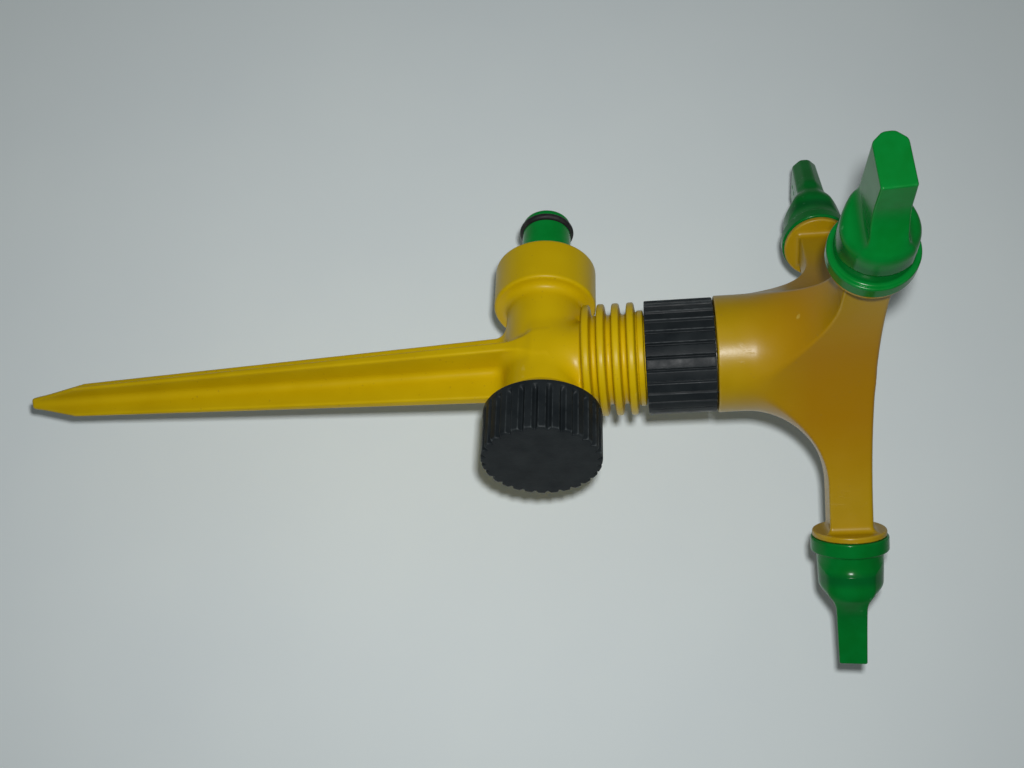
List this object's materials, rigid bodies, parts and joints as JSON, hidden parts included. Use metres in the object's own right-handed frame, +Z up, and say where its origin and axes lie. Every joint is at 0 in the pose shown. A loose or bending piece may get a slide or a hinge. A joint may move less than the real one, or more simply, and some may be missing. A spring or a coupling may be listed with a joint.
{
  "type": "rotary spike sprinkler",
  "caption": "Lawn sprinkler on a ground spike: a rotor with turnable nozzle caps on its arms, a retaining nut, a hose nipple and a screw end cap.",
  "frame": {"origin": "on the spike's axis at the soil line, 25 mm below the axis of the cross barrel", "axes": "+Z up the spin axis of the rotor, -X out of the hose nipple, +X out of the end cap"},
  "size_m": [0.1525, 0.157, 0.2428],
  "materials": {
    "yellow_plastic": "semi-gloss moulded, lightly scuffed",
    "green_plastic": "glossy moulded",
    "black_plastic": "satin moulded, ribbed",
    "natural_plastic": "smooth turned",
    "seal_rubber": "matt"
  },
  "bodies": {
    "base": {"body": "yellow_plastic", "hose_nipple": "green_plastic", "nipple_oring": "seal_rubber", "nipple_washer": "seal_rubber", "swivel_seal": "seal_rubber"},
    "cap_seal": {"cap_washer": "seal_rubber"},
    "cap": {"end_cap": "black_plastic"},
    "rotor_seat": {"slip_washer": "natural_plastic"},
    "nut": {"retaining_nut": "black_plastic"},
    "rotor": {"rotor": "yellow_plastic", "swivel_stem": "natural_plastic", "stem_oring": "seal_rubber", "hub_oring": "seal_rubber", "nozzle_oring_1": "seal_rubber", "nozzle_oring_2": "seal_rubber", "nozzle_oring_3": "seal_rubber"},
    "nozzle_1": {"nozzle_1": "green_plastic"},
    "nozzle_2": {"nozzle_2": "green_plastic"},
    "nozzle_3": {"nozzle_3": "green_plastic"}
  },
  "joints": [
    {"name": "rotor_spin", "type": "hinge", "parent": "rotor_seat", "child": "rotor", "pos_m": [0, 0, 0.066], "axis": [0, 0, 1], "continuous": true},
    {"name": "nozzle_1_turn", "type": "hinge", "parent": "rotor", "child": "nozzle_1", "pos_m": [0, 0, 0.1061], "axis": [0.7071, 0.7071, 0], "continuous": true},
    {"name": "nozzle_2_turn", "type": "hinge", "parent": "rotor", "child": "nozzle_2", "pos_m": [0, 0, 0.1061], "axis": [-0.9659, 0.2588, 0], "continuous": true},
    {"name": "nozzle_3_turn", "type": "hinge", "parent": "rotor", "child": "nozzle_3", "pos_m": [0, 0, 0.1061], "axis": [0.2588, -0.9659, 0], "continuous": true},
    {"name": "cap_travel", "type": "slide", "parent": "base", "child": "cap_seal", "axis": [1, 0, 0], "range_m": [0, 0.00907]},
    {"name": "cap_turn", "type": "hinge", "parent": "cap_seal", "child": "cap", "pos_m": [0.025, 0, 0.025], "axis": [1, 0, 0], "range_deg": [0, 1800]},
    {"name": "nut_travel", "type": "slide", "parent": "base", "child": "rotor_seat", "axis": [0, 0, 1], "range_m": [0, 0.0075]},
    {"name": "nut_turn", "type": "hinge", "parent": "rotor_seat", "child": "nut", "pos_m": [0, 0, 0.062], "axis": [0, 0, 1], "range_deg": [0, 900]}
  ],
  "couplings": [
    {"joint": "cap_turn", "follows": "cap_travel", "rad_per_m": 3463.7},
    {"joint": "nut_turn", "follows": "nut_travel", "rad_per_m": 2094.4}
  ]
}
